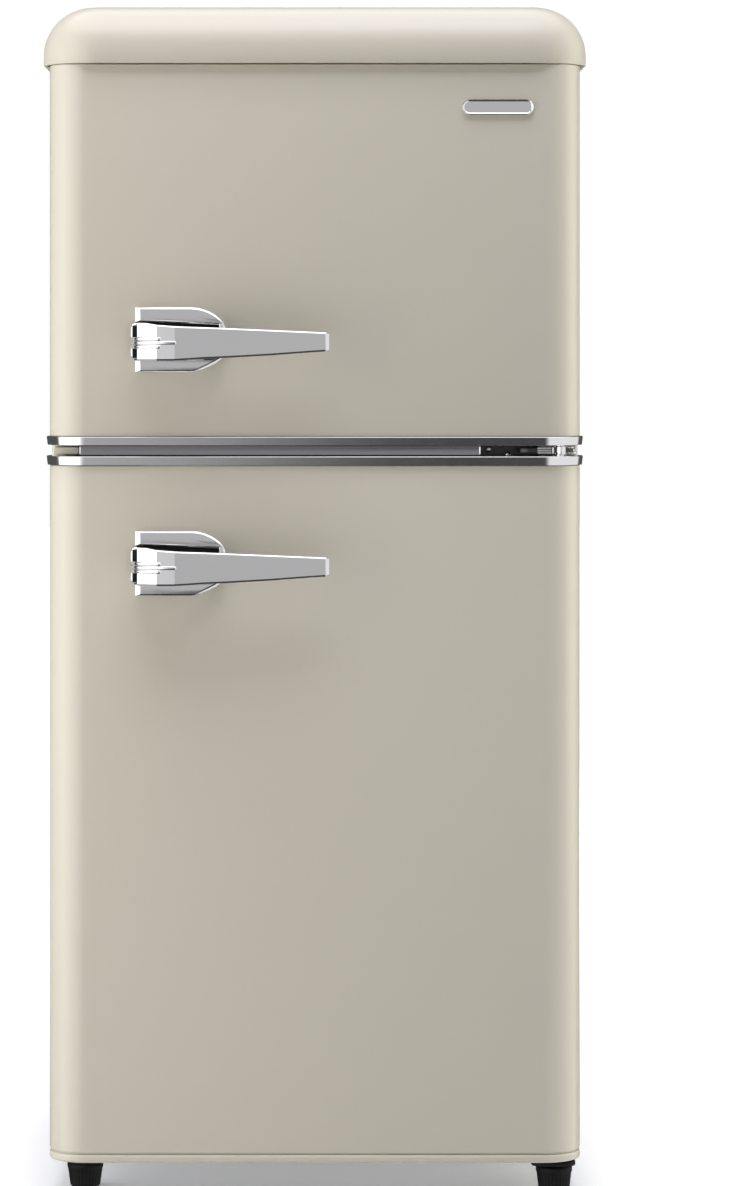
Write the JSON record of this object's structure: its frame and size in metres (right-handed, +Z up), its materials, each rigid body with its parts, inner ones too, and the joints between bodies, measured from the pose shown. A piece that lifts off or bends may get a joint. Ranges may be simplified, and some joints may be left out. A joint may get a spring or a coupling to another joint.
{
  "type": "mini fridge",
  "caption": "Two-door retro mini fridge with a domed top cover, chrome lever handles, chrome trims between the doors and levelling feet.",
  "frame": {"origin": "on the floor, under the middle of the whole object's box", "axes": "+Z up; the doors and handles face -Y; the hinges are at +X"},
  "size_m": [0.428, 0.484, 0.942],
  "materials": {
    "cream_paint": "satin cream enamel",
    "cream_plastic": "semi-gloss cream",
    "chrome": "bright plated",
    "satin_steel": "brushed satin",
    "zinc_steel": "zinc plated",
    "white_plastic": "vacuum formed white",
    "clear_plastic": "clear moulded",
    "glass": "tempered, clear",
    "grey_rubber": "soft grey",
    "foam": "rigid foam, hidden",
    "black_plastic": "moulded black",
    "black_paint": "satin black",
    "copper": "drawn copper tube"
  },
  "bodies": {
    "cabinet": {"side_panel_left": "cream_paint", "side_panel_right": "cream_paint", "top_panel": "zinc_steel", "back_panel": "zinc_steel", "base_plate": "zinc_steel", "insulation": "foam", "freezer_liner": "white_plastic", "fridge_liner": "white_plastic", "top_cover": "cream_plastic", "mullion_cover": "satin_steel", "mullion_end_cap": "cream_plastic", "mid_hinge_bracket": "zinc_steel", "mid_hinge_pin": "chrome", "mid_hinge_screw_1": "zinc_steel", "mid_hinge_screw_2": "zinc_steel", "mid_hinge_screw_3": "zinc_steel", "top_hinge_bracket": "zinc_steel", "top_hinge_pin": "zinc_steel", "bottom_hinge_bracket": "black_paint", "bottom_hinge_pin": "zinc_steel", "rear_foot_left": "black_plastic", "rear_foot_right": "black_plastic", "compressor": "black_paint", "compressor_mount": "zinc_steel", "relay_cover": "black_plastic", "suction_tube": "copper", "discharge_tube": "copper", "drip_tray": "white_plastic", "cord_gland": "black_plastic", "thermostat_housing": "white_plastic", "light_lens": "clear_plastic", "glass_shelf_upper": "glass", "glass_shelf_lower": "glass", "crisper_cover": "glass", "freezer_shelf": "chrome"},
    "freezer_door": {"freezer_door_skin": "cream_paint", "freezer_door_top_cap": "cream_plastic", "freezer_door_trim": "chrome", "freezer_door_core": "foam", "freezer_door_liner": "white_plastic", "freezer_door_gasket": "grey_rubber", "freezer_door_bin": "clear_plastic", "freezer_door_badge": "chrome", "freezer_handle_base": "chrome", "freezer_handle_lever": "chrome"},
    "fridge_door": {"fridge_door_skin": "cream_paint", "fridge_door_bottom_cap": "cream_plastic", "fridge_door_trim": "chrome", "fridge_door_core": "foam", "fridge_door_liner": "white_plastic", "fridge_door_gasket": "grey_rubber", "fridge_door_bin": "clear_plastic", "fridge_door_bottle_rack": "clear_plastic", "fridge_handle_base": "chrome", "fridge_handle_lever": "chrome"},
    "crisper": {"crisper_drawer": "clear_plastic"},
    "temperature_dial": {"thermostat_dial": "white_plastic"},
    "door_switch": {"light_switch": "white_plastic"},
    "left_levelling_foot": {"front_foot_left": "black_plastic"},
    "right_levelling_foot": {"front_foot_right": "black_plastic"}
  },
  "joints": [
    {"name": "freezer_door_swing", "type": "hinge", "parent": "cabinet", "child": "freezer_door", "pos_m": [0.194, -0.185, 0.745], "axis": [0, 0, 1], "range_deg": [0, 120]},
    {"name": "fridge_door_swing", "type": "hinge", "parent": "cabinet", "child": "fridge_door", "pos_m": [0.194, -0.185, 0.305], "axis": [0, 0, 1], "range_deg": [0, 120]},
    {"name": "crisper_slide", "type": "slide", "parent": "cabinet", "child": "crisper", "axis": [0, -1, 0], "range_m": [0, 0.028]},
    {"name": "thermostat_turn", "type": "hinge", "parent": "cabinet", "child": "temperature_dial", "pos_m": [0.132, -0.066, 0.531], "axis": [0, -1, 0], "range_deg": [0, 270]},
    {"name": "light_switch_travel", "type": "slide", "parent": "cabinet", "child": "door_switch", "axis": [0, -1, 0], "range_m": [0, 0.004]},
    {"name": "left_foot_turn", "type": "hinge", "parent": "cabinet", "child": "left_levelling_foot", "pos_m": [-0.184, -0.138, 0.015], "axis": [0, 0, 1], "range_deg": [0, 1080]},
    {"name": "right_foot_turn", "type": "hinge", "parent": "cabinet", "child": "right_levelling_foot", "pos_m": [0.19, -0.17, 0.015], "axis": [0, 0, 1], "range_deg": [0, 1080]}
  ],
  "couplings": [
    {"joint": "light_switch_travel", "follows": "fridge_door_swing", "m_per_rad": 0.0019}
  ]
}
